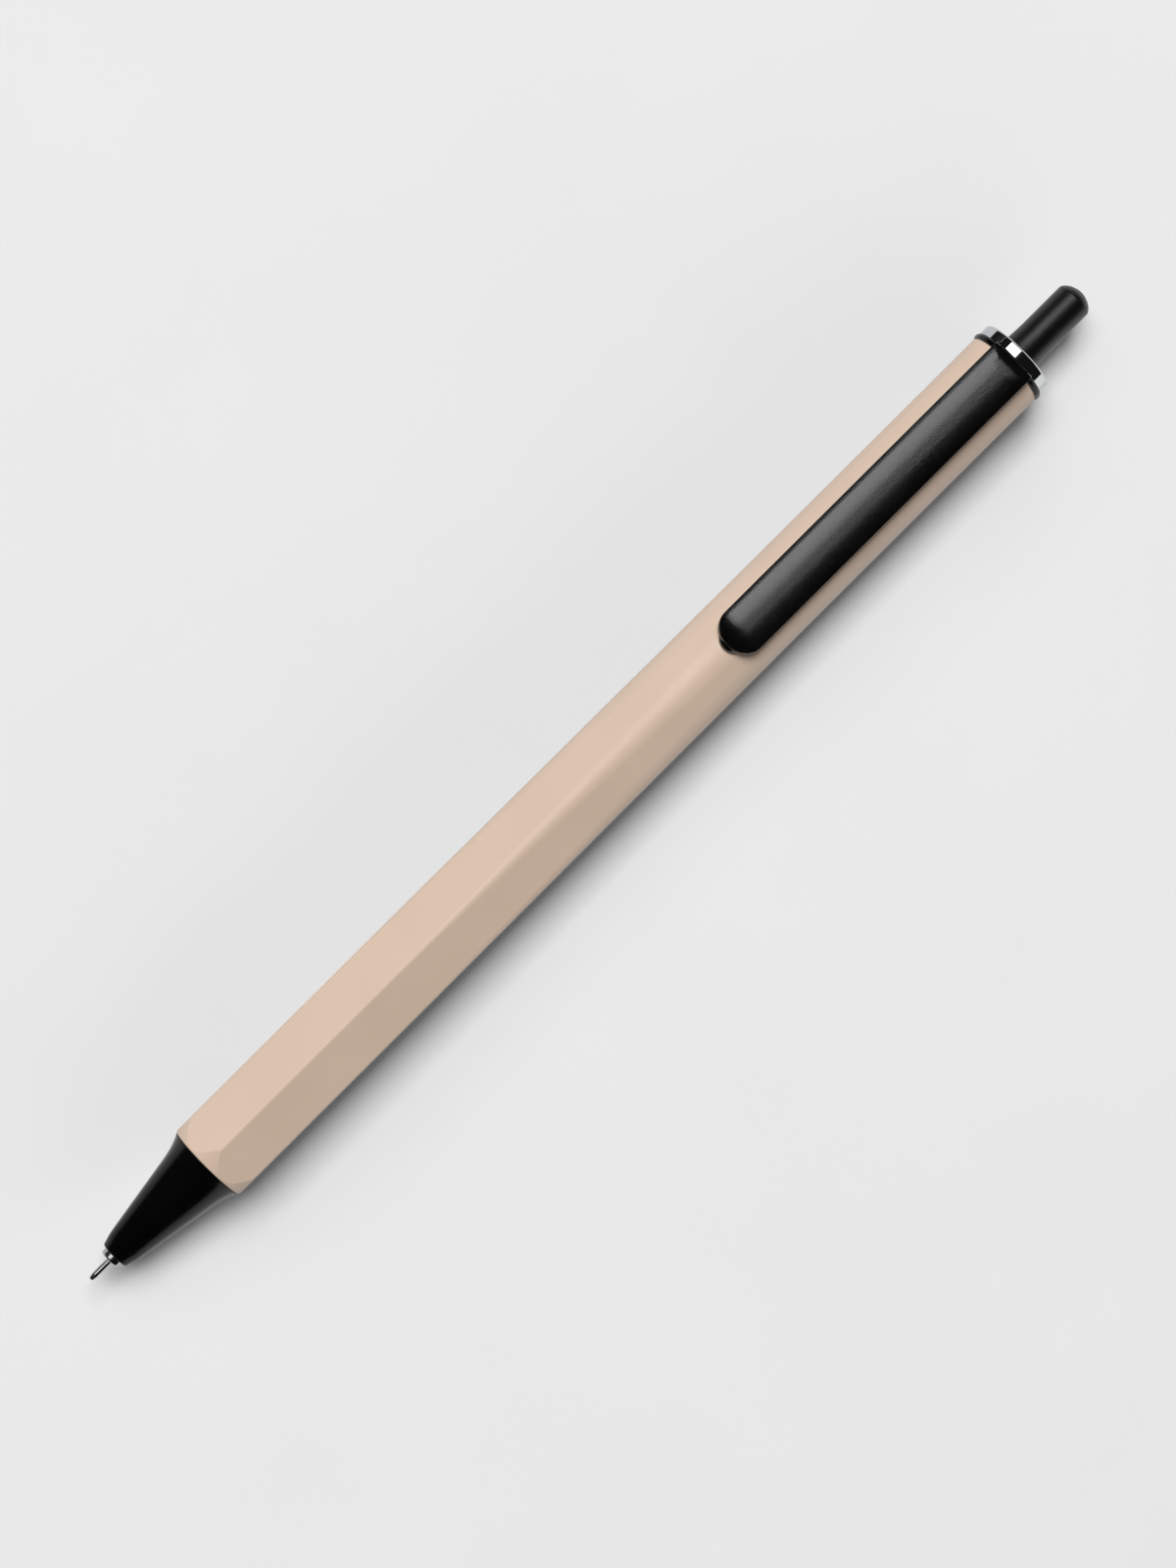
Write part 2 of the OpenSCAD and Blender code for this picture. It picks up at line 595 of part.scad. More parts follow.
module plunger() color([0.9, 0.9, 0.88]) along_pen() difference() {
    union() {
        rod(plunger_r, plunger_s, shoulder_s);
        rod(plunger_stem_d / 2, shoulder_s, shoulder_s + plunger_stem_length);
        keys(plunger_s + key_inset, shoulder_s - stop_gap, 0);
    }
    rod(plunger_bore_r, plunger_s - cut, shoulder_s + plunger_bore_depth);
    crown_notches(plunger_s, 1);
}

module cam_rotor() color([0.9, 0.55, 0.2]) along_pen() {
    rod(rotor_stem_d / 2, rotor_s, hub_s);
    difference() {
        rod(plunger_r, hub_s, rotor_crown_s);
        crown_notches(rotor_crown_s, -1);
    }
    rod(plunger_bore_r - run_gap, rotor_crown_s - key_inset, shoulder_s + rotor_pin_reach);
    keys(hub_s + key_inset, rib_s - stop_gap - crown_depth, crown_depth);
}

module return_spring() color([0.72, 0.73, 0.75]) along_pen()
    wire(spring_path, spring_outward, spring_wire_d / 2);

module refill_tube() color([0.9, 0.92, 0.93, 0.4]) along_pen() difference() {
    rod(refill_r, tube_s, tube_end_s);
    rod(tube_bore_r, tube_s - cut, tube_end_s + cut);
}

// The adapter's plug, the ink, the follower, air and the tail plug fill the tube one behind another
plug_end_s = tube_s + adapter_plug_depth;
tail_s = tube_end_s - tail_depth;
follower_end_s = tail_s - air_length;
ink_end_s = follower_end_s - follower_length;
float_s = follower_end_s - float_length;
module ink_column() color([0.05, 0.05, 0.07]) along_pen() rod(plug_r, plug_end_s, ink_end_s);
module ink_follower() color([0.85, 0.8, 0.5, 0.6]) along_pen() difference() {
    rod(plug_r, ink_end_s, follower_end_s);
    rod(float_d / 2 + press_gap, float_s, follower_end_s + cut);
}
module follower_float() color([0.95, 0.95, 0.95]) along_pen() rod(float_d / 2, float_s, follower_end_s);
module tail_plug() color([0.92, 0.92, 0.9]) along_pen() turned([
    [tail_vent_d / 2, tail_s], [plug_r, tail_s], [plug_r, tube_end_s], [refill_r, tube_end_s],
    [refill_r, refill_length - tail_bevel], [refill_r - tail_bevel, refill_length],
    [tail_vent_d / 2, refill_length]]);

// The metal tip has a thinner tail that is pressed into the adapter
shank_end_s = needle_out + shank_length;
shank_tail_r = shank_tail_d / 2;
shank_tail_end_s = ball_chamber_end_s + shank_end_wall;
channel_r = ink_channel_d / 2;
module tip_adapter() color([0.93, 0.93, 0.92]) along_pen() turned([
    [shank_tail_r + press_gap, shank_end_s], [adapter_r - adapter_bevel, shank_end_s],
    [adapter_r, shank_end_s + adapter_bevel], [adapter_r, refill_collar_s],
    [refill_collar_d / 2, refill_collar_s], [refill_collar_d / 2, tube_s], [plug_r, tube_s],
    [plug_r, plug_end_s], [adapter_funnel_d / 2, plug_end_s], [adapter_funnel_d / 2, tube_s],
    [channel_r, tube_s - adapter_funnel_length], [channel_r, shank_tail_end_s],
    [shank_tail_r + press_gap, shank_tail_end_s]]);
module tip_shank() color([0.75, 0.75, 0.76]) along_pen() turned(concat(
    [[needle_r + press_gap, needle_out]],
    [for (a = [0:30:90])
        [shank_r - shank_edge_r * (1 - sin(a)), needle_out + shank_edge_r * (1 - cos(a))]],
    [[shank_r, shank_end_s], [shank_tail_r, shank_end_s], [shank_tail_r, shank_tail_end_s],
     [channel_r, shank_tail_end_s], [channel_r, ball_chamber_end_s],
     [ball_chamber_d / 2, ball_chamber_end_s], [ball_chamber_d / 2, needle_end_s],
     [needle_r + press_gap, needle_end_s]]));

// The needle's front is rolled over the ball, which sits in a round socket
socket_r = ball_r + press_gap;
seat_turn = asin(needle_bore_d / 2 / socket_r);
module needle_pipe() color([0.78, 0.78, 0.79]) along_pen() turned(concat(
    [for (i = [0:8]) let (a = needle_lip_turn + (seat_turn - needle_lip_turn) * i / 8)
        [socket_r * sin(a), ball_r + socket_r * cos(a)]],
    [[needle_bore_d / 2, needle_end_s], [needle_r, needle_end_s], [needle_r, needle_taper],
     [socket_r * sin(needle_lip_turn) + needle_rim, ball_r + socket_r * cos(needle_lip_turn)]]));
module writing_ball() color([0.6, 0.6, 0.6]) along_pen() translate([0, 0, ball_r]) sphere(r = ball_r);
module ball_spring() color([0.72, 0.73, 0.75]) along_pen() wire(ball_path, ball_outward, ball_wire_d / 2);

barrel();
nose_cone();
clip_collar();
clip_arm();
top_ring();
guide_sleeve();
button();
plunger();
cam_rotor();
return_spring();
refill_tube();
ink_column();
ink_follower();
follower_float();
tail_plug();
tip_adapter();
tip_shank();
needle_pipe();
writing_ball();
ball_spring();
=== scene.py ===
# %% [markdown]
# # A gel rollerball pen, modelled over its frame
# The frame is the pen as CAD drew it: twenty solids, each at its place, with the bodies that move. This
# lesson models the outer pieces and the return spring again, with the soft edges that a studio light finds,
# and gives every piece a finish. CAD and Blender share one frame in metres, so nothing has to be fitted
# afterwards.

# %% Load the frame
import json
import math

import bmesh
import bpy
from mathutils import Matrix, Vector

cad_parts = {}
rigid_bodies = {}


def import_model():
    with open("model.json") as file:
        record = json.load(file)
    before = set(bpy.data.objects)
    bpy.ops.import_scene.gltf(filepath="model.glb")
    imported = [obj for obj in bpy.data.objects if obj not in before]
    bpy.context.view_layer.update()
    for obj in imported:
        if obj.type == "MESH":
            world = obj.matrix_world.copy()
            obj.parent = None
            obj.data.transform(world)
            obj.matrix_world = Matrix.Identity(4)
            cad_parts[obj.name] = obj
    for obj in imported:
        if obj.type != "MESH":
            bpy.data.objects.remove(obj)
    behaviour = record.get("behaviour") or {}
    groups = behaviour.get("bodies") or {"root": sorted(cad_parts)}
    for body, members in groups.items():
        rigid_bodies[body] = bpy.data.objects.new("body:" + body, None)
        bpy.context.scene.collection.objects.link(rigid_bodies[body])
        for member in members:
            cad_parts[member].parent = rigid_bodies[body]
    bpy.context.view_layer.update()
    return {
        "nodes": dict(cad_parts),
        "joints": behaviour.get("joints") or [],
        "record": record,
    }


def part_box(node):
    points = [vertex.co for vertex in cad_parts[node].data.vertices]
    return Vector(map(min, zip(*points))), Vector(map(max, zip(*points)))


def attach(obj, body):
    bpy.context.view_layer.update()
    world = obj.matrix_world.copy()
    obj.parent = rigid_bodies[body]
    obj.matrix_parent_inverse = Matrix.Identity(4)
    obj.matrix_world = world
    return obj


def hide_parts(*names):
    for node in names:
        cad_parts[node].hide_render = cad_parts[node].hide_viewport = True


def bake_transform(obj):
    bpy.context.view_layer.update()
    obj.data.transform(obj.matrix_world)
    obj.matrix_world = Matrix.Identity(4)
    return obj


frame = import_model()
print("solids in the frame:", len(frame["nodes"]))

# %% [markdown]
# ## A rule along the pen
# A pen maker measures along the axis from the front of the ball, in millimetres. Modelling in millimetres
# also suits Blender, whose small tolerances are made for shapes of a few units. So each piece is modelled on
# a bench: x runs along the pen from the ball, the axis is the x axis and the clip is up. When a piece is
# done it is shrunk to metres, leaned with the pen, which lies on a flat of its barrel, and laid in place.
# A name that ends in _s is a place along this rule and one that ends in _r is a radius, in small or capital
# letters.

# %% Read the rule from the frame
MM = 0.001
ball_low, ball_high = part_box("writing_ball")
TIP_X = ball_low.x
AXIS_Z = (ball_low.z + ball_high.z) / 2
clip_joint = next(j for j in frame["joints"] if j["name"] == "clip_lift")
LEAN = math.atan2(-clip_joint["axis"][2], clip_joint["axis"][1])
ALONG = Vector((1, 0, 0))
CLIPWARD = Vector((0, math.sin(LEAN), math.cos(LEAN)))
ACROSS = Vector((0, math.cos(LEAN), -math.sin(LEAN)))


def reach(node):
    """Where a CAD node starts and ends along the pen, in millimetres from the front of the ball."""
    low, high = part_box(node)
    return (low.x - TIP_X) / MM, (high.x - TIP_X) / MM


def place(s, up=0.0):
    """A point of the bench, on or above the axis, as a point of the frame."""
    return Vector((TIP_X, 0, AXIS_Z)) + MM * (s * ALONG + up * CLIPWARD)


pen_end_s = reach("button")[1]
print(f"pen length {pen_end_s:.2f} mm, clip leans {math.degrees(LEAN):.1f} degrees")

# %% [markdown]
# ## Hand tools
# Operators act on whatever is selected, so every step starts by deselecting, and picks points, edges or faces
# by their place, to within NEAR, in millimetres. These helpers are the hand movements that repeat: clear the
# bench, pick a piece, and choose parts of it.

# %% Pick and choose
NEAR = 0.002


def clear_bench():
    """Leaves edit mode and deselects everything."""
    if bpy.context.object and bpy.context.object.mode == "EDIT":
        bpy.ops.object.mode_set(mode="OBJECT")
    bpy.ops.object.select_all(action="DESELECT")


def pick(piece):
    """Makes one piece the selected and active one."""
    clear_bench()
    piece.select_set(True)
    bpy.context.view_layer.objects.active = piece


def choose(kind, test):
    """Selects the points, edges or faces of the piece in edit mode that pass a test."""
    bpy.ops.mesh.select_mode(type=kind)
    bpy.ops.mesh.select_all(action="DESELECT")
    mesh = bmesh.from_edit_mesh(bpy.context.object.data)
    parts = {"VERT": mesh.verts, "EDGE": mesh.edges, "FACE": mesh.faces}[kind]
    chosen = [part for part in parts if test(part)]
    for part in chosen:
        part.select_set(True)
    bmesh.update_edit_mesh(bpy.context.object.data)


# %% [markdown]
# The other movements cut and finish a piece. Modifiers are applied at once, because the next step works on
# the mesh that they leave. A spin can leave double points and stray edges, so the skin is closed after it.
# The finished piece is laid in the frame, and its open edges and volume are printed as a check.

# %% Cut, close, smooth and lay
SEAM = 1e-4


def apply_modifier(piece, kind, **settings):
    """Adds a modifier to a piece, sets it and applies it."""
    pick(piece)
    bpy.ops.object.modifier_add(type=kind)
    modifier = piece.modifiers[-1]
    for name, value in settings.items():
        setattr(modifier, name, value)
    bpy.ops.object.modifier_apply(modifier=modifier.name)


def combine(piece, tool, operation):
    """Cuts a piece with a tool, or joins the two, and takes the tool off the bench."""
    apply_modifier(piece, "BOOLEAN", operation=operation, object=tool, solver="EXACT")
    pick(tool)
    bpy.ops.object.delete()


def tidy_skin():
    """Closes the seams of the mesh in edit mode and turns its faces outwards."""
    bpy.ops.mesh.select_all(action="SELECT")
    bpy.ops.mesh.remove_doubles(threshold=SEAM)
    bpy.ops.mesh.delete_loose()
    bpy.ops.mesh.select_all(action="SELECT")
    bpy.ops.mesh.normals_make_consistent(inside=False)
    bpy.ops.object.mode_set(mode="OBJECT")


def smooth(piece, degrees, weight=100):
    """Shades a piece smoothly over edges that bend less than this; a high weight keeps broad faces flat."""
    pick(piece)
    bpy.ops.object.shade_smooth_by_angle(angle=math.radians(degrees))
    apply_modifier(piece, "WEIGHTED_NORMAL", keep_sharp=True, weight=weight)


def lay(piece):
    """Shrinks a piece to metres, leans it with the pen and lays it in the frame."""
    pick(piece)
    piece.scale = (MM, MM, MM)
    piece.rotation_euler = (-LEAN, 0, 0)
    piece.location = (TIP_X, 0, AXIS_Z)
    bpy.ops.object.transform_apply(location=True, rotation=True, scale=True)
    mesh = bmesh.new()
    mesh.from_mesh(piece.data)
    loose = sum(len(edge.link_faces) != 2 for edge in mesh.edges)
    volume = mesh.calc_volume() / MM**3
    print(f"{piece.name}: {len(mesh.faces)} faces, {loose} open edges, {volume:.1f} mm3")
    mesh.free()


# %% [markdown]
# ## The lathe
# Most of a pen is round: nose, ring, button, tip. One could start from a cylinder and scale its loops, but
# the honest way is the turner's: draw half of the outline, point by point, round its corners and spin it
# about the axis. An outline that returns to its start gives a hollow piece with a real bore.

# %% The lathe
TURN_STEPS = 96
ROUND_STEPS = 6


def turned(name, outline, rounds=(), steps=TURN_STEPS):
    """Spins a closed outline of (s, radius) points; rounds lists (s, radius, size) of corners to soften."""
    clear_bench()
    bpy.ops.mesh.primitive_plane_add(size=1)
    piece = bpy.context.object
    piece.name = name
    bpy.ops.object.mode_set(mode="EDIT")
    bpy.ops.mesh.select_all(action="SELECT")
    bpy.ops.mesh.merge(type="CENTER")
    bpy.ops.transform.translate(value=(outline[0][0], 0, outline[0][1]))
    for (s0, r0), (s1, r1) in zip(outline, outline[1:]):
        bpy.ops.mesh.extrude_vertices_move(TRANSFORM_OT_translate={"value": (s1 - s0, 0, r1 - r0)})
    ends = [Vector((s, 0, r)) for s, r in (outline[0], outline[-1])]
    choose("VERT", lambda v: min((v.co - end).length for end in ends) < NEAR)
    bpy.ops.mesh.edge_face_add()
    for s, r, size in rounds:
        choose("VERT", lambda v: (v.co - Vector((s, 0, r))).length < NEAR)
        bpy.ops.mesh.bevel(offset=size, segments=ROUND_STEPS, affect="VERTICES")
    bpy.ops.mesh.select_all(action="SELECT")
    bpy.ops.mesh.spin(steps=steps, angle=math.tau, center=(0, 0, 0), axis=(1, 0, 0))
    tidy_skin()
    return piece


# %% [markdown]
# ## The thread
# The nose screws into the barrel on a right-hand thread of one millimetre. A Screw modifier can wind any
# section around the axis. It will serve for the ridge on the nose, for the groove in the barrel and, with a
# round section, for the return spring, so the winding is a helper of its own.

# %% Wind a section
WIND_STEPS = 40


def wind(piece, turns, pitch):
    """Winds the open section of a piece around the axis, towards the button, and closes its ends."""
    steps = round(WIND_STEPS * turns)
    apply_modifier(piece, "SCREW", axis="X", angle=math.tau * turns, screw_offset=pitch * turns, steps=steps,
                   render_steps=steps)
    pick(piece)
    bpy.ops.object.mode_set(mode="EDIT")
    bpy.ops.mesh.select_mode(type="VERT")
    bpy.ops.mesh.select_all(action="DESELECT")
    bpy.ops.mesh.select_non_manifold()
    bpy.ops.mesh.fill_holes(sides=0)
    tidy_skin()


# %% [markdown]
# The thread's section has four sides and is wide at its root. It starts as a unit square, whose lower and
# upper points are set to their widths and moved out to their radii. The ridge and a slightly larger groove
# come from the same tool, so that the two run in each other when the nose is unscrewed.

# %% The thread tool
THREAD_PITCH = 1.0
THREAD_GAP = 0.08
THREAD_SINK = 0.2
ROOT_WIDTH, CREST_WIDTH = 0.62, 0.2
SPIGOT_R, CREST_R = 3.04, 3.37


def thread(name, low_r, high_r, widen, start_s, turns):
    """Winds a solid with the thread's section, from start_s towards the button."""
    clear_bench()
    bpy.ops.mesh.primitive_plane_add(size=1, rotation=(math.radians(90), 0, 0))
    piece = bpy.context.object
    piece.name = name
    bpy.ops.object.transform_apply(location=True, rotation=True, scale=True)
    bpy.ops.object.mode_set(mode="EDIT")
    for side, radius, width in ((-1, low_r, ROOT_WIDTH), (1, high_r, CREST_WIDTH)):
        # Points that were moved out already lie more than 1 mm from the axis and aren't chosen again.
        choose("VERT", lambda v: v.co.z * side > 0 and abs(v.co.z) < 1)
        bpy.ops.transform.resize(value=(width + 2 * widen, 1, 1), center_override=(0, 0, 0))
        bpy.ops.transform.translate(value=(start_s, 0, radius - side / 2))
    bpy.ops.mesh.select_all(action="SELECT")
    bpy.ops.mesh.delete(type="ONLY_FACE")
    bpy.ops.object.mode_set(mode="OBJECT")
    wind(piece, turns, THREAD_PITCH)
    return piece


# %% [markdown]
# ## The barrel
# The real barrel is one lacquered shell: six flat sides in front, whose edges grow rounder until, under the
# clip, the section is a circle. It could be sculpted from a cylinder, but the change is easy to state as a
# rule, ring by ring: a circle of the edge's radius is cut into six parts, and each part is moved out to its
# corner. Bridging the rings gives the skin.

# %% Rings of the barrel
barrel_s, barrel_end_s = reach("barrel")
rest_flat = next(m for m in frame["record"]["mounts"] if m["name"] == "rest_flat")
FLAT_R = (AXIS_Z - rest_flat["pos_m"][2]) / MM
ROUND_R, EDGE_R, LAST_FLAT = 4.37, 0.45, 0.07
HEX_LENGTH, MORPH_LENGTH = 27.3, 56
MORPH_EASE, MORPH_RINGS = 1.2, 30
SIDES, EDGE_POINTS = 6, 14
HALF_SIDE = math.pi / SIDES
OVERHANG = 1
morph_s = barrel_s + HEX_LENGTH


def barrel_ring(s):
    """Adds one ring of the barrel: six rounded corners that grow until they meet in a circle."""
    share = min(1, max(0, (s - morph_s) / MORPH_LENGTH))
    flat = FLAT_R + (ROUND_R - FLAT_R) * share
    edge = EDGE_R + (ROUND_R - LAST_FLAT - EDGE_R) * share**MORPH_EASE
    bpy.ops.mesh.primitive_circle_add(vertices=SIDES * EDGE_POINTS, radius=edge, location=(s, 0, 0),
                                      rotation=(math.radians(90), HALF_SIDE / EDGE_POINTS, math.radians(90)))
    for corner in range(SIDES):
        turn = math.tau * corner / SIDES
        outward = Vector((0, math.sin(turn), math.cos(turn)))
        choose("VERT", lambda v: abs(v.co.x - s) < NEAR
               and Vector((0, v.co.y, v.co.z)).angle(outward) < HALF_SIDE)
        bpy.ops.transform.translate(value=outward * (flat - edge) / math.cos(HALF_SIDE))


clear_bench()
bpy.ops.mesh.primitive_circle_add(vertices=SIDES * EDGE_POINTS)
barrel = bpy.context.object
barrel.name = "barrel_shell"
bpy.ops.object.mode_set(mode="EDIT")
bpy.ops.mesh.select_all(action="SELECT")
bpy.ops.mesh.delete(type="VERT")
morph_places = [morph_s + MORPH_LENGTH * k / (MORPH_RINGS - 1) for k in range(MORPH_RINGS)]
skin_places = [barrel_s - OVERHANG, *morph_places, barrel_end_s + OVERHANG]
for skin_s in skin_places:
    barrel_ring(skin_s)
bpy.ops.mesh.select_all(action="SELECT")
bpy.ops.mesh.bridge_edge_loops()
for end_s in (skin_places[0], skin_places[-1]):
    choose("VERT", lambda v: abs(v.co.x - end_s) < NEAR)
    bpy.ops.mesh.edge_face_add()
tidy_skin()
print("rings in the barrel's skin:", len(skin_places))

# %% [markdown]
# The barrel's front is turned to a cone on a lathe, which leaves a scallop on each flat. The same is done
# here: the skin is cut with a turned tube that has the cone, the softened rims and the bore, and the thread's
# groove is cut after it.

# %% Turn the barrel's front, rims and bore
RIM_R, RIM_ROUND = 4.45, 0.14
FRONT_SLOPE = math.radians(17)
CLEAR_R = 6.0
REAR_RIM_LENGTH, REAR_RIM_SPARE, REAR_RIM_DEPTH = 0.14, 0.03, 0.12
LAND_R, LAND_END_S = SPIGOT_R + THREAD_GAP, 24.5
TUBE_BORE_R, REAR_BORE_R = 3.2, 3.5
SEAT_GAP = 0.05
THREAD_LEAD, THREAD_TURNS = 1.2, 5.5
GROOVE_EXTRA = 2
front_end_s = barrel_s + (CLEAR_R - RIM_R) / math.tan(FRONT_SLOPE)
rear_rim_s = barrel_end_s - REAR_RIM_LENGTH
rear_bore_s = reach("guide_sleeve")[0] - SEAT_GAP
thread_s = barrel_s + THREAD_LEAD
tube = turned("barrel_turning", [
    (barrel_s, LAND_R), (barrel_s, RIM_R), (front_end_s, CLEAR_R), (rear_rim_s, CLEAR_R),
    (rear_rim_s, ROUND_R + REAR_RIM_SPARE), (barrel_end_s, ROUND_R - REAR_RIM_DEPTH),
    (barrel_end_s, REAR_BORE_R), (rear_bore_s, REAR_BORE_R), (rear_bore_s, TUBE_BORE_R),
    (LAND_END_S, TUBE_BORE_R), (LAND_END_S, LAND_R)],
    rounds=[(barrel_s, RIM_R, RIM_ROUND)])
combine(barrel, tube, "INTERSECT")
groove = thread("barrel_groove", LAND_R - THREAD_SINK, CREST_R + THREAD_GAP, THREAD_GAP,
                thread_s - GROOVE_EXTRA * THREAD_PITCH, THREAD_TURNS + 2 * GROOVE_EXTRA)
combine(barrel, groove, "DIFFERENCE")
smooth(barrel, degrees=12)
lay(barrel)

# %% [markdown]
# ## The nose
# A matt black moulded cone that screws off to change the refill. Its outline is a short shoulder at the
# mouth, a straight taper and a flare that meets the barrel's rim. The flare is a curve between two points. A
# third one, in line with the taper, pulls it, so that it starts without a kink. The bore widens in steps, and
# the return spring stands on the last one. The spigot and its thread show when the nose is unscrewed.

# %% Turn the nose
nose_s, spigot_end_s = reach("nose_cone")
NOSE_GAP = 0.05
MOUTH_R, LIP_R = 1.28, 1.58
MOUTH_END_S, SHANK_BORE_R = 7.0, 1.7
LEDGE_S, SPRING_BORE_R = 10.5, 2.2
FLARE_PULL, FLARE_STEPS = 1.9, 10
nose_base_s = barrel_s - NOSE_GAP
shoulder, taper, base = Vector((4.75, 1.97)), Vector((13.7, 3.45)), Vector((nose_base_s, 4.4))
bend = taper + (taper - shoulder) * FLARE_PULL / (taper.x - shoulder.x)
flare_shares = [k / FLARE_STEPS for k in range(1, FLARE_STEPS + 1)]
flare = [(1 - u) ** 2 * taper + 2 * u * (1 - u) * bend + u**2 * base for u in flare_shares]
nose = turned("nose_shell", [
    (nose_s, MOUTH_R), (nose_s, LIP_R), tuple(shoulder), tuple(taper), *[tuple(p) for p in flare],
    (nose_base_s, SPIGOT_R), (spigot_end_s, SPIGOT_R), (spigot_end_s, SPRING_BORE_R),
    (LEDGE_S, SPRING_BORE_R), (LEDGE_S, SHANK_BORE_R), (MOUTH_END_S, SHANK_BORE_R), (MOUTH_END_S, MOUTH_R)],
    rounds=[(nose_s, LIP_R, 0.14), (*shoulder, 0.3), (*base, 0.08), (spigot_end_s, SPIGOT_R, 0.3)])
ridge = thread("nose_ridge", SPIGOT_R - THREAD_SINK, CREST_R, 0, thread_s, THREAD_TURNS)
combine(nose, ridge, "UNION")
smooth(nose, degrees=25)
lay(nose)

# %% [markdown]
# ## Collar and top ring
# Two round pieces close the barrel's rear: a rounded black collar that belongs to the clip, and a bright
# ring with a spigot in the barrel. Small roundings matter most here, because a polished edge without one
# never catches the light.

# %% Turn the collar and the ring
COLLAR_LENGTH, COLLAR_R = 0.65, 4.55
RING_LENGTH, RING_GAP, RING_CHAMFER = 1.3, 0.02, 0.18
RING_R, RING_HOLE_R, RING_SPIGOT_R = 4.4, 2.23, 3.48
ring_spigot_s, ring_end_s = reach("top_ring")
ring_s = ring_end_s - RING_LENGTH
collar_s, collar_end_s = reach("clip_collar")[1] - COLLAR_LENGTH, ring_s - RING_GAP
collar = turned("collar_ring", [
    (collar_s, REAR_BORE_R), (collar_s, COLLAR_R), (collar_end_s, COLLAR_R), (collar_end_s, REAR_BORE_R)],
    rounds=[(collar_s, COLLAR_R, 0.22), (collar_end_s, COLLAR_R, 0.26)])
smooth(collar, degrees=30)
lay(collar)
chamfer_s, chamfer_r = ring_end_s - RING_CHAMFER, RING_R - RING_CHAMFER
crown = turned("crown_ring", [
    (ring_spigot_s, RING_HOLE_R), (ring_spigot_s, RING_SPIGOT_R), (ring_s, RING_SPIGOT_R), (ring_s, RING_R),
    (chamfer_s, RING_R), (ring_end_s, chamfer_r), (ring_end_s, RING_HOLE_R)],
    rounds=[(ring_s, RING_R, 0.05), (chamfer_s, RING_R, 0.06), (ring_end_s, chamfer_r, 0.06),
            (ring_end_s, RING_HOLE_R, 0.08)])
smooth(crown, degrees=30)
lay(crown)

# %% [markdown]
# ## The push button
# A black moulding with a slight flare at its foot and a low dome. The dome is a chain of a few points, each
# with a rounding of its own, which leaves the soft edge that the light draws around its end. The bore takes
# the plunger.

# %% Turn the button
BUTTON_R, BUTTON_FOOT_R, BUTTON_BORE_R = 2.0, 2.15, 1.62
BUTTON_FLARE_LENGTH, BUTTON_FLARE_STEPS = 3.0, 8
BUTTON_BORE_END_S = 137.65
DOME = ((141.55, BUTTON_R, 0.16), (141.95, 1.72, 0.16), (142.3, 1.25, 0.2), (142.56, 0.62, 0.2))
button_s = reach("button")[0]
button_shares = [k / BUTTON_FLARE_STEPS for k in range(BUTTON_FLARE_STEPS + 1)]
button = turned("push_button", [
    (button_s, BUTTON_BORE_R), (button_s, BUTTON_FOOT_R),
    *[(ring_end_s + BUTTON_FLARE_LENGTH * u, BUTTON_R + (BUTTON_FOOT_R - BUTTON_R) * (1 - u) ** 2)
      for u in button_shares],
    *[(s, r) for s, r, _ in DOME], (pen_end_s, 0), (BUTTON_BORE_END_S, 0),
    (BUTTON_BORE_END_S, BUTTON_BORE_R)],
    rounds=DOME)
smooth(button, degrees=40)
lay(button)

# %% [markdown]
# ## The metal tip
# The refill's tip is turned from nickel silver, and a steel needle is pressed into it. The needle's front is
# rolled over the ball, so that only the ball's front shows. Both are lathe work at a much smaller size.

# %% Turn the tip and the needle
tip_s, tip_end_s = reach("tip_shank")
needle_end_s = reach("needle_pipe")[1]
TIP_R, TIP_TAIL_R, TIP_STEP_S = 1.2, 0.9, 9.0
INLET_R, INLET_LENGTH, CHAMBER_R = 0.35, 0.4, 0.6
NEEDLE_R, NEEDLE_BORE_R, NEEDLE_CONE_S = 0.35, 0.18, 0.6
BALL_R, SOCKET_R, SOCKET_WALL = 0.25, 0.27, 0.02
SOCKET_ANGLES = (41.8, 60, 75, 90, 105, 120)
PRESS_GAP = 0.02
NEEDLE_STEPS = 48
inlet_s = tip_end_s - INLET_LENGTH
metal_tip = turned("metal_tip", [
    (tip_s, NEEDLE_R + PRESS_GAP), (tip_s, TIP_R), (TIP_STEP_S, TIP_R), (TIP_STEP_S, TIP_TAIL_R),
    (tip_end_s, TIP_TAIL_R), (tip_end_s, INLET_R), (inlet_s, INLET_R), (inlet_s, CHAMBER_R),
    (needle_end_s, CHAMBER_R), (needle_end_s, NEEDLE_R + PRESS_GAP)], rounds=[(tip_s, TIP_R, 0.24)])
smooth(metal_tip, degrees=25)
lay(metal_tip)
socket = [(BALL_R + SOCKET_R * math.cos(a), SOCKET_R * math.sin(a))
          for a in [math.radians(degrees) for degrees in SOCKET_ANGLES]]
lip_s, lip_r = socket[-1]
needle = turned("steel_needle", [
    (needle_end_s, NEEDLE_BORE_R), *socket, (lip_s, lip_r + SOCKET_WALL), (NEEDLE_CONE_S, NEEDLE_R),
    (needle_end_s, NEEDLE_R)], rounds=[(NEEDLE_CONE_S, NEEDLE_R, 0.15)], steps=NEEDLE_STEPS)
smooth(needle, degrees=25)
lay(needle)
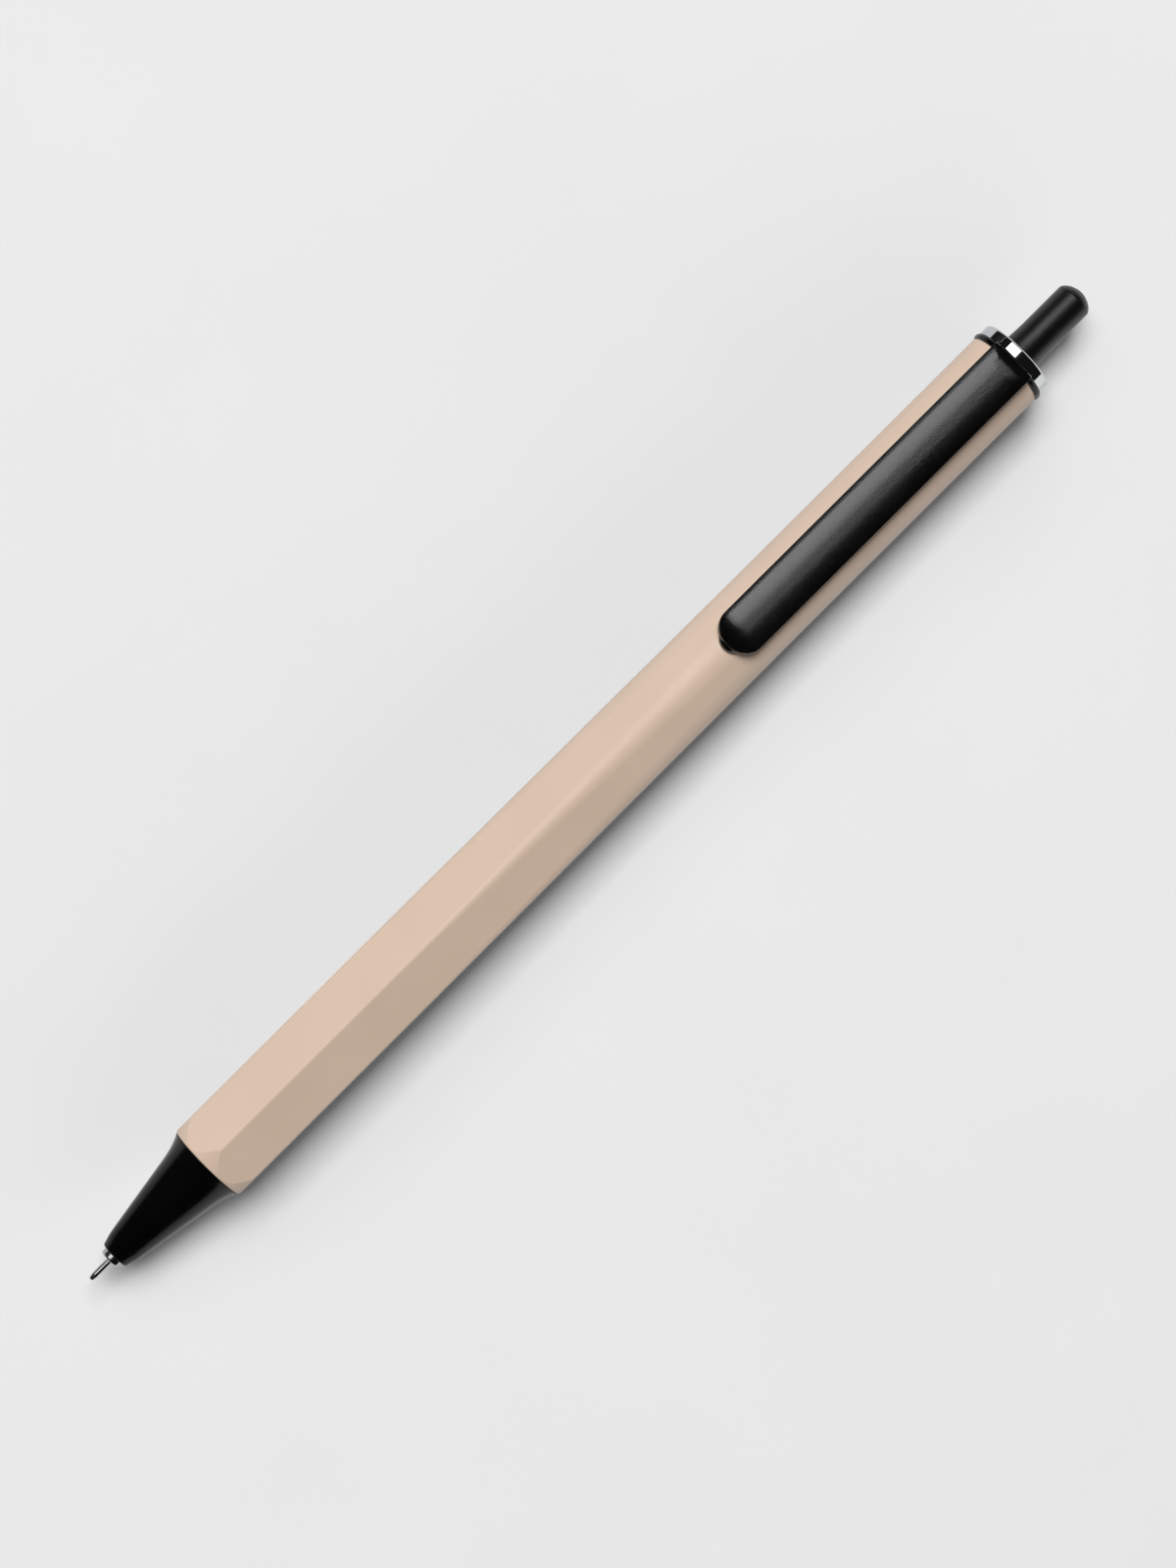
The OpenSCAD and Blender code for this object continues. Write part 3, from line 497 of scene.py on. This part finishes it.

# %% [markdown]
# ## The return spring
# A coil of steel wire sits around the refill, between a ledge in the nose and a collar on the refill. CAD can
# only draw it at one length. Here it is wound from a round section, and it keeps that one length too.

# %% Wind the return spring
WIRE_R, WIRE_SIDES = 0.2, 12
COIL_R, COIL_TURNS = 1.85, 11
coil_s, coil_end_s = reach("return_spring")
clear_bench()
bpy.ops.mesh.primitive_circle_add(vertices=WIRE_SIDES, radius=WIRE_R, location=(coil_s + WIRE_R, 0, COIL_R),
                                  rotation=(math.radians(90), 0, 0))
coil = bpy.context.object
coil.name = "return_coil"
bpy.ops.object.transform_apply(location=True, rotation=True, scale=True)
wind(coil, COIL_TURNS, (coil_end_s - coil_s - 2 * WIRE_R) / COIL_TURNS)
smooth(coil, degrees=40)
lay(coil)

# %% [markdown]
# ## The clip
# One black moulding: a long arm with bevelled sides and a slightly crowned top, round in front, with a foot
# that presses on the barrel and a root that grows out of the collar. It starts as a flat plan with two
# rounded corners, which is extruded to a plate. Insets that rise a little each give the bevel and the crown.

# %% Plate with bevel and crown
CLIP_HALF, CLIP_LOW, CLIP_TOP = 2.55, 5.12, 6.27
CLIP_AHEAD, CLIP_OVER = 0.2, 0.6
CLIP_CORNER, CORNER_STEPS = 2.2, 14
REAR_CORNER, REAR_CORNER_STEPS = 0.3, 4
SIDE_BEVEL, SIDE_RISE = 0.4, 0.19
CROWN_STEP, CROWN_SLOPES = 0.3, (9.0, 7.5, 6.0, 4.5, 3.0, 1.5)
CLIP_SOFT, CLIP_SOFT_STEPS, CLIP_SOFT_ANGLE = 0.07, 3, math.radians(25)
clip_s, clip_end_s = reach("clip_arm")[0] - CLIP_AHEAD, collar_s + CLIP_OVER
crown_rises = [CROWN_STEP * math.tan(math.radians(slope)) for slope in CROWN_SLOPES]
wall = CLIP_TOP - CLIP_LOW - SIDE_RISE - sum(crown_rises)


def on_rear_corner(point):
    """Whether a point lies on the line from a rear corner up over the side bevel."""
    back, side = clip_end_s - point.co.x, CLIP_HALF - abs(point.co.y)
    return abs(back - side) < NEAR and back < SIDE_BEVEL + NEAR


clear_bench()
bpy.ops.mesh.primitive_plane_add(size=1)
clip = bpy.context.object
clip.name = "pocket_clip"
bpy.ops.object.mode_set(mode="EDIT")
bpy.ops.mesh.select_all(action="SELECT")
bpy.ops.transform.resize(value=(clip_end_s - clip_s, 2 * CLIP_HALF, 1), center_override=(0, 0, 0))
bpy.ops.transform.translate(value=((clip_s + clip_end_s) / 2, 0, CLIP_LOW))
choose("VERT", lambda v: v.co.x < clip_s + NEAR)
bpy.ops.mesh.bevel(offset=CLIP_CORNER, segments=CORNER_STEPS, affect="VERTICES")
choose("FACE", lambda f: True)
bpy.ops.mesh.extrude_region_move(TRANSFORM_OT_translate={"value": (0, 0, wall)})
bpy.ops.mesh.inset(thickness=SIDE_BEVEL, depth=SIDE_RISE)
for rise in crown_rises:
    bpy.ops.mesh.inset(thickness=CROWN_STEP, depth=rise)
choose("EDGE", lambda e: all(on_rear_corner(v) for v in e.verts))
bpy.ops.mesh.bevel(offset=REAR_CORNER, segments=REAR_CORNER_STEPS)
tidy_skin()
apply_modifier(clip, "BEVEL", width=CLIP_SOFT, segments=CLIP_SOFT_STEPS, limit_method="ANGLE",
               angle_limit=CLIP_SOFT_ANGLE)
print(f"clip plate {clip_end_s - clip_s:.2f} mm long, top at {max(v.co.z for v in clip.data.vertices):.2f}")

# %% [markdown]
# The real clip drops at both ends. Cuts across the plate give the places to bend its upper side there, a few
# degrees at a time in front, and more cuts divide the arm. The root is the rear part of the plate's
# underside, extruded down past the collar's surface.

# %% Bend the ends and grow the root
FRONT_BEND_S, FRONT_BEND_STEP, FRONT_BEND_COUNT = 93.7, 0.5, 5
FRONT_BEND, REAR_BEND = math.radians(3), math.radians(11)
REAR_BEND_LENGTH = 1.3
ROOT_S, ROOT_LOW = 126.7, 3.3
FACING_DOWN = -0.9
ARM_CUTS, NECK_CUTS, ROOT_CUTS = range(97, 119, 3), range(119, 126), 4
front_bends = [FRONT_BEND_S - FRONT_BEND_STEP * k for k in range(FRONT_BEND_COUNT)]
rear_bend_s = clip_end_s - REAR_BEND_LENGTH
flex_cuts = [*ARM_CUTS, *NECK_CUTS, *[ROOT_S + k for k in range(ROOT_CUTS)]]
pick(clip)
bpy.ops.object.mode_set(mode="EDIT")
for cut_s in front_bends + flex_cuts + [rear_bend_s]:
    bpy.ops.mesh.select_all(action="SELECT")
    bpy.ops.mesh.bisect(plane_co=(cut_s, 0, 0), plane_no=(1, 0, 0))
upper = CLIP_LOW + wall / 2
for bend_s in front_bends:
    choose("VERT", lambda v: v.co.x < bend_s - NEAR and v.co.z > upper)
    bpy.ops.transform.rotate(value=FRONT_BEND, orient_axis="Y", center_override=(bend_s, 0, CLIP_TOP))
choose("VERT", lambda v: v.co.x > rear_bend_s + NEAR and v.co.z > upper)
bpy.ops.transform.rotate(value=-REAR_BEND, orient_axis="Y", center_override=(rear_bend_s, 0, CLIP_TOP))
choose("FACE", lambda f: f.normal.z < FACING_DOWN and f.calc_center_median().x > ROOT_S)
bpy.ops.mesh.extrude_region_move(TRANSFORM_OT_translate={"value": (0, 0, ROOT_LOW - CLIP_LOW)})
tidy_skin()
print("cuts across the clip:", len(front_bends + flex_cuts) + 1)

# %% [markdown]
# The foot is a round pad with soft rims that stands out a little in front of the clip's end. Last, a turned
# tool a little wider than the barrel and the collar cuts a bed into the root, so that it lies close on both.

# %% Add the foot and cut the bed
FOOT_R, FOOT_LOW, FOOT_TOP, FOOT_AHEAD = 1.6, 4.58, 5.3, 0.45
FOOT_ROUNDS = ((FOOT_TOP, 0.6), (FOOT_LOW, 0.1))
FOOT_SIDES = 64
BED_S, BED_END_S = 110, 140
BED_R, COLLAR_BED_R, COLLAR_BED_GAP = 4.42, COLLAR_R + 0.03, 0.05
clear_bench()
bpy.ops.mesh.primitive_cylinder_add(vertices=FOOT_SIDES, radius=FOOT_R, depth=FOOT_TOP - FOOT_LOW,
                                    location=(clip_s + FOOT_R - FOOT_AHEAD, 0, (FOOT_LOW + FOOT_TOP) / 2))
foot = bpy.context.object
bpy.ops.object.transform_apply(location=True, rotation=True, scale=True)
bpy.ops.object.mode_set(mode="EDIT")
for rim_z, rim_round in FOOT_ROUNDS:
    choose("EDGE", lambda e: all(abs(v.co.z - rim_z) < NEAR for v in e.verts))
    bpy.ops.mesh.bevel(offset=rim_round, segments=ROUND_STEPS)
tidy_skin()
combine(clip, foot, "UNION")
bed_step_s = collar_s - COLLAR_BED_GAP
bed = turned("clip_bed", [(BED_S, 0), (BED_S, BED_R), (bed_step_s, BED_R), (bed_step_s, COLLAR_BED_R),
                          (BED_END_S, COLLAR_BED_R), (BED_END_S, 0)])
combine(clip, bed, "DIFFERENCE")
smooth(clip, degrees=25, weight=50)
lay(clip)

# %% [markdown]
# ## What rides on what
# Each new piece stands for a CAD node, and most move with a body. Two are special. On the real pen the clip
# bends near its root, while CAD has a hinge there; the spring's front end stands still in the barrel and the
# refill pushes on its rear. These two pieces stay where they lie in the frame, on no body.

# %% Ride and replace
RIDES = [
    (barrel, "barrel", "barrel_lacquer", ("barrel",)),
    (nose, "nose", "black_plastic", ("nose_cone",)),
    (collar, "barrel", "black_plastic", ("clip_collar",)),
    (crown, "barrel", "ring_chrome", ("top_ring",)),
    (button, "button", "button_plastic", ("button",)),
    (metal_tip, "refill", "tip_steel", ("tip_shank",)),
    (needle, "refill", "tip_steel", ("needle_pipe",)),
]
for piece, body, slot, nodes in RIDES:
    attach(piece, body)
    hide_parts(*nodes)
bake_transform(clip)
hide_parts("clip_arm")
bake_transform(coil)
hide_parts("return_spring")
print("pieces on bodies:", len(RIDES) + 2)

# %% [markdown]
# ## Finishes
# A finish is more than a colour: it has slow changes of tone, a grain that breaks up the gloss, and a relief
# so shallow that only the highlights show it. A tone runs from a dark to a light colour, and the gloss is a
# range of roughness. Everything reads Object coordinates, which are the frame's own metres, so that a grain
# can have its real size.

# %% Nodes of a finish
TONE_STOPS = (0.35, 0.65)
GRAIN_LOW, GRAIN_HIGH = 0.3, 0.7


def add(finish, kind, inputs=None):
    """Adds a node to a finish or to the room, with numbers or links for its sockets."""
    node = finish.node_tree.nodes.new(kind)
    for name, value in (inputs or {}).items():
        if isinstance(value, bpy.types.NodeSocket):
            finish.node_tree.links.new(value, node.inputs[name])
        else:
            node.inputs[name].default_value = value
    return node


def surface(name, sockets):
    """A new finish with constants set on its shader, and its object coordinates."""
    finish = bpy.data.materials.new(name)
    finish.use_nodes = True
    shader = finish.node_tree.nodes["Principled BSDF"]
    for socket, value in sockets.items():
        shader.inputs[socket.replace("_", " ")].default_value = value
    return finish, shader, add(finish, "ShaderNodeTexCoord").outputs["Object"]


def noise(finish, coords, size_mm, detail):
    """A noise whose features have about this size."""
    sockets = {"Vector": coords, "Scale": 1 / (size_mm * MM), "Detail": detail}
    return add(finish, "ShaderNodeTexNoise", sockets).outputs["Fac"]


def wire(finish, shader, tone, dark, light, grain, gloss, height, depth):
    """Links a tone, a gloss and a relief to the shader."""
    ramp = add(finish, "ShaderNodeValToRGB", {"Fac": tone})
    for stop, position, colour in zip(ramp.color_ramp.elements, TONE_STOPS, (dark, light)):
        stop.position = position
        stop.color = (*colour, 1)
    rough = add(finish, "ShaderNodeMapRange", {"Value": grain, "From Min": GRAIN_LOW, "From Max": GRAIN_HIGH,
                                               "To Min": gloss[0], "To Max": gloss[1]})
    relief = add(finish, "ShaderNodeBump", {"Height": height, "Distance": depth, "Strength": 1.0})
    links = finish.node_tree.links
    links.new(ramp.outputs["Color"], shader.inputs["Base Color"])
    links.new(rough.outputs["Result"], shader.inputs["Roughness"])
    links.new(relief.outputs["Normal"], shader.inputs["Normal"])


# %% [markdown]
# One recipe serves all moulded and lacquered pieces. Another serves the metals, whose fine lines run around
# the axis as a lathe leaves them: a noise that is stretched across the axis.

# %% Recipes for finishes
SPECK_SHARE = 0.7
LINE_STRETCH, LINE_DETAIL = 0.04, 2.0
CLOUD_MM, CLOUD_DETAIL = 1.5, 3.0


def grey(tone):
    """A colour without a hue."""
    return (tone, tone, tone)


def moulded(name, dark, light, tone_mm, grain_mm, depth_mm, gloss, **sockets):
    """Plastic or lacquer: slow changes of tone, a fine grain in the relief and a finer one in the gloss."""
    finish, shader, coords = surface(name, sockets)
    sizes = (tone_mm, grain_mm, SPECK_SHARE * grain_mm)
    tone, grain, speck = [noise(finish, coords, size, CLOUD_DETAIL) for size in sizes]
    wire(finish, shader, tone, dark, light, speck, gloss, grain, depth_mm * MM)
    return finish


def metal(name, dark, light, line_mm, depth_mm, gloss):
    """Turned or drawn metal: fine lines around the axis, a little darker and rougher in places."""
    finish, shader, coords = surface(name, {"Metallic": 1.0})
    stretch = (1.0, LINE_STRETCH, LINE_STRETCH)
    stretched = add(finish, "ShaderNodeMapping", {"Vector": coords, "Scale": stretch})
    lines = noise(finish, stretched.outputs["Vector"], line_mm, LINE_DETAIL)
    cloud = noise(finish, coords, CLOUD_MM, CLOUD_DETAIL)
    wire(finish, shader, cloud, dark, light, cloud, gloss, lines, depth_mm * MM)
    return finish


# %% [markdown]
# The sand lacquer is a soft-touch coat: matt, with a very fine orange peel. The black pieces are moulded in a
# textured tool, so light from the side sparkles in their grain. The clip and button have the deeper grain.
# The ring is chromed, the tip is nickel silver and the needle is steel.

# %% Finishes of the outside
sand = moulded("sand_lacquer", (0.50, 0.384, 0.30), (0.515, 0.394, 0.309), tone_mm=7, grain_mm=0.14,
               depth_mm=0.0015, gloss=(0.36, 0.48))
black = moulded("black_nose", grey(0.0008), grey(0.0014), tone_mm=5, grain_mm=0.14, depth_mm=0.002,
                gloss=(0.18, 0.24), Specular_IOR_Level=0.2)
grained = moulded("black_grain", grey(0.001), grey(0.002), tone_mm=5, grain_mm=0.15, depth_mm=0.017,
                  gloss=(0.12, 0.26), Specular_IOR_Level=0.75)
pressed = moulded("black_button", grey(0.001), grey(0.002), tone_mm=5, grain_mm=0.13, depth_mm=0.01,
                  gloss=(0.32, 0.46), Specular_IOR_Level=0.58)
chrome = metal("bright_chrome", (0.56, 0.57, 0.58), (0.62, 0.63, 0.64), line_mm=0.05, depth_mm=0.00005,
               gloss=(0.04, 0.09))
nickel = metal("nickel_tip", (0.38, 0.38, 0.39), (0.46, 0.45, 0.44), line_mm=0.05, depth_mm=0.0004,
               gloss=(0.14, 0.22))
steel = metal("needle_steel", (0.42, 0.42, 0.43), (0.50, 0.50, 0.51), line_mm=0.04, depth_mm=0.0002,
              gloss=(0.18, 0.26))
OUTSIDE = ((barrel, sand), (nose, black), (collar, black), (clip, grained), (button, pressed),
           (crown, chrome), (metal_tip, nickel), (needle, steel))
for piece, finish in OUTSIDE:
    piece.data.materials.clear()
    piece.data.materials.append(finish)
print("outer pieces with a finish:", len(OUTSIDE))

# %% [markdown]
# Inside, the other CAD solids have the right shapes and only need finishes: white and orange bearing plastic,
# a clear tube, gel ink, amber grease, spring wire and the hard ball. The wound spring gets its wire too.

# %% Finishes of the inside
white = moulded("white_acetal", (0.74, 0.74, 0.71), (0.82, 0.82, 0.79), tone_mm=4, grain_mm=0.3,
                depth_mm=0.002, gloss=(0.3, 0.42))
orange = moulded("orange_acetal", (0.66, 0.27, 0.05), (0.74, 0.32, 0.07), tone_mm=4, grain_mm=0.3,
                 depth_mm=0.002, gloss=(0.3, 0.42))
clear = moulded("clear_tube", (0.86, 0.89, 0.9), (0.92, 0.94, 0.95), tone_mm=6, grain_mm=0.5, depth_mm=0.001,
                gloss=(0.1, 0.2), Transmission_Weight=0.85, IOR=1.49)
ink = moulded("gel_ink", (0.004, 0.004, 0.006), (0.008, 0.008, 0.012), tone_mm=3, grain_mm=0.6,
              depth_mm=0.002, gloss=(0.08, 0.16))
grease = moulded("amber_grease", (0.62, 0.5, 0.2), (0.72, 0.6, 0.28), tone_mm=2, grain_mm=0.6, depth_mm=0.004,
                 gloss=(0.14, 0.26), Transmission_Weight=0.5, IOR=1.45)
spring_wire = metal("spring_wire", (0.45, 0.46, 0.48), (0.6, 0.61, 0.63), line_mm=0.2, depth_mm=0.001,
                    gloss=(0.2, 0.32))
hard_ball = metal("hard_ball", (0.3, 0.3, 0.31), (0.4, 0.4, 0.41), line_mm=0.05, depth_mm=0.0001,
                  gloss=(0.12, 0.2))
INSIDE = {
    "guide_sleeve": white, "plunger": white, "cam_rotor": orange,
    "refill_tube": clear, "ink_column": ink, "ink_follower": grease, "follower_float": white,
    "tail_plug": white, "tip_adapter": white, "writing_ball": hard_ball, "ball_spring": spring_wire,
}
for node, finish in INSIDE.items():
    frame["nodes"][node].data.materials.clear()
    frame["nodes"][node].data.materials.append(finish)
coil.data.materials.append(spring_wire)
print("CAD nodes with a finish:", len(INSIDE))

# %% [markdown]
# ## Ground and cards
# The photograph was taken straight over the clip, on a pale ground. The camera keeps that view, but the pen
# lies on a flat here, so its clip, and with it the camera, leans. Because of the lean, polished pieces would
# mirror more of the ground on one side and less on the other than they did for the photographer. A black card
# that lies beside the pen and a white one that stands across from it put that right, and only reflections see
# them.

# %% Ground and cards
GROUND_SIZE, GROUND_DARK, GROUND_LIGHT = 30, 0.78, 0.79
CARD_SIZE = 1.5
BLACK_Y, BLACK_UP = 0.011, 0.0003
WHITE_Y, WHITE_HIGH = -0.3, 0.21
PAPER = {"tone_mm": 30, "grain_mm": 0.4, "depth_mm": 0.002, "gloss": (0.9, 1.0)}
paper = moulded("pale_paper", grey(GROUND_DARK), grey(GROUND_LIGHT), **PAPER, Specular_IOR_Level=0.0)
black_paper = moulded("black_paper", grey(0.003), grey(0.004), **PAPER)
clear_bench()
bpy.ops.mesh.primitive_plane_add(size=GROUND_SIZE)
ground = bpy.context.object
ground.name = "ground"
ground.data.materials.append(paper)
bpy.ops.mesh.primitive_plane_add(size=CARD_SIZE, location=(0, BLACK_Y + CARD_SIZE / 2, BLACK_UP))
black_card = bpy.context.object
bpy.ops.mesh.primitive_plane_add(size=CARD_SIZE, location=(0, WHITE_Y, WHITE_HIGH / 2),
                                 rotation=(math.radians(90), 0, 0))
white_card = bpy.context.object
white_card.scale.y = WHITE_HIGH / CARD_SIZE
for card, name, finish in ((black_card, "black_card", black_paper), (white_card, "white_card", paper)):
    pick(card)
    bpy.ops.object.transform_apply(location=True, rotation=True, scale=True)
    card.name = name
    card.data.materials.append(finish)
    card.visible_camera = card.visible_shadow = card.visible_transmission = False
print("stage:", [item.name for item in (ground, black_card, white_card)])

# %% [markdown]
# ## Light
# The photograph has one large softbox, which reaches from overhead to the upper left. Here it is a large
# area light some metres away, which keeps the ground even. A stronger overhead panel covers a part of the
# same angles and a low fill comes from the other side; both stay out of reflections. The photograph's ground
# is even right up to the pen, so diffuse rays don't see the pen. The stage is set out in metres.

# %% Light
LIGHT_AWAY, LIGHT_AIM_S = 6.0, 70


def softbox(name, along, across, radiance):
    """A far area light that fills these angles off the clip's direction, in degrees, as seen from the pen."""
    mid_along, mid_across = [math.radians(sum(angles) / 2) for angles in (along, across)]
    size = [2 * LIGHT_AWAY * math.tan(math.radians(angles[1] - angles[0]) / 2) for angles in (along, across)]
    upright = math.cos(mid_across) * CLIPWARD + math.sin(mid_across) * ACROSS
    aim = math.cos(mid_along) * upright + math.sin(mid_along) * ALONG
    side = (ALONG - aim * ALONG.dot(aim)).normalized()
    turn = Matrix((side, aim.cross(side), aim)).transposed()
    clear_bench()
    bpy.ops.object.light_add(type="AREA", location=place(LIGHT_AIM_S) + aim * LIGHT_AWAY,
                             rotation=turn.to_euler())
    light = bpy.context.object
    light.name = name
    light.data.shape = "RECTANGLE"
    light.data.size, light.data.size_y = size
    light.data.energy = radiance * math.pi * size[0] * size[1]
    return light


softbox("main_softbox", along=(-8, 25), across=(3, 37), radiance=3.2)
overhead = softbox("overhead_panel", along=(-8, 25), across=(3, 21), radiance=17.3)
low_fill = softbox("low_fill", along=(-50, 50), across=(-119, -86), radiance=1.35)
overhead.visible_glossy = low_fill.visible_glossy = False
for item in bpy.context.scene.objects:
    if item.type == "MESH" and item != ground:
        item.visible_diffuse = False

# %% [markdown]
# ## The room
# The photographer's room is dark, and black pieces need that: what they mirror is what one sees of them. So
# the world is dim for light and darker still for reflections, and pale only where the camera looks past the
# ground.

# %% The room around the stage
ROOM_SOFT, ROOM_DARK, ROOM_PALE = 0.03, 0.01, 0.78
WHITE = (1, 1, 1, 1)
bpy.context.scene.view_settings.view_transform = "Standard"
room = bpy.data.worlds.new("dim_room")
bpy.context.scene.world = room
room.use_nodes = True
looks = add(room, "ShaderNodeLightPath").outputs
lit = room.node_tree.nodes["Background"]
lit.inputs["Color"].default_value = WHITE
lit.inputs["Strength"].default_value = ROOM_SOFT
for ray, strength in (("Is Glossy Ray", ROOM_DARK), ("Is Camera Ray", ROOM_PALE)):
    seen = add(room, "ShaderNodeBackground", {"Color": WHITE, "Strength": strength})
    mix = add(room, "ShaderNodeMixShader", {"Fac": looks[ray]})
    room.node_tree.links.new(lit.outputs[0], mix.inputs[1])
    room.node_tree.links.new(seen.outputs[0], mix.inputs[2])
    lit = mix
room.node_tree.links.new(lit.outputs[0], room.node_tree.nodes["World Output"].inputs["Surface"])
print("nodes in the room's world:", len(room.node_tree.nodes))

# %% [markdown]
# ## The camera
# The photograph looks straight down on the clip from nearly half a metre, a little in front of the pen's
# middle, and the pen rises to the right at almost 45 degrees. The camera is built from the directions it
# looks and rises in, which is surer than turning it by angles.

# %% Camera
CAMERA_S, CAMERA_UP, AIM_S = 57.0, 425.0, 71.22
PEN_SLOPE = math.radians(44.9)
SENSOR_HEIGHT, LENS, SEES_FROM = 36, 95.77, 0.01
back = (place(CAMERA_S, up=CAMERA_UP) - place(AIM_S)).normalized()
top = ALONG * math.sin(PEN_SLOPE) + ACROSS * math.cos(PEN_SLOPE)
top = (top - back * top.dot(back)).normalized()
clear_bench()
bpy.ops.object.camera_add(location=place(CAMERA_S, up=CAMERA_UP),
                          rotation=Matrix((top.cross(back), top, back)).transposed().to_euler())
camera = bpy.context.object
camera.data.sensor_fit = "VERTICAL"
camera.data.sensor_height = SENSOR_HEIGHT
camera.data.lens = LENS
camera.data.clip_start = SEES_FROM
bpy.context.scene.camera = camera
print("camera at", [round(c, 3) for c in camera.location])
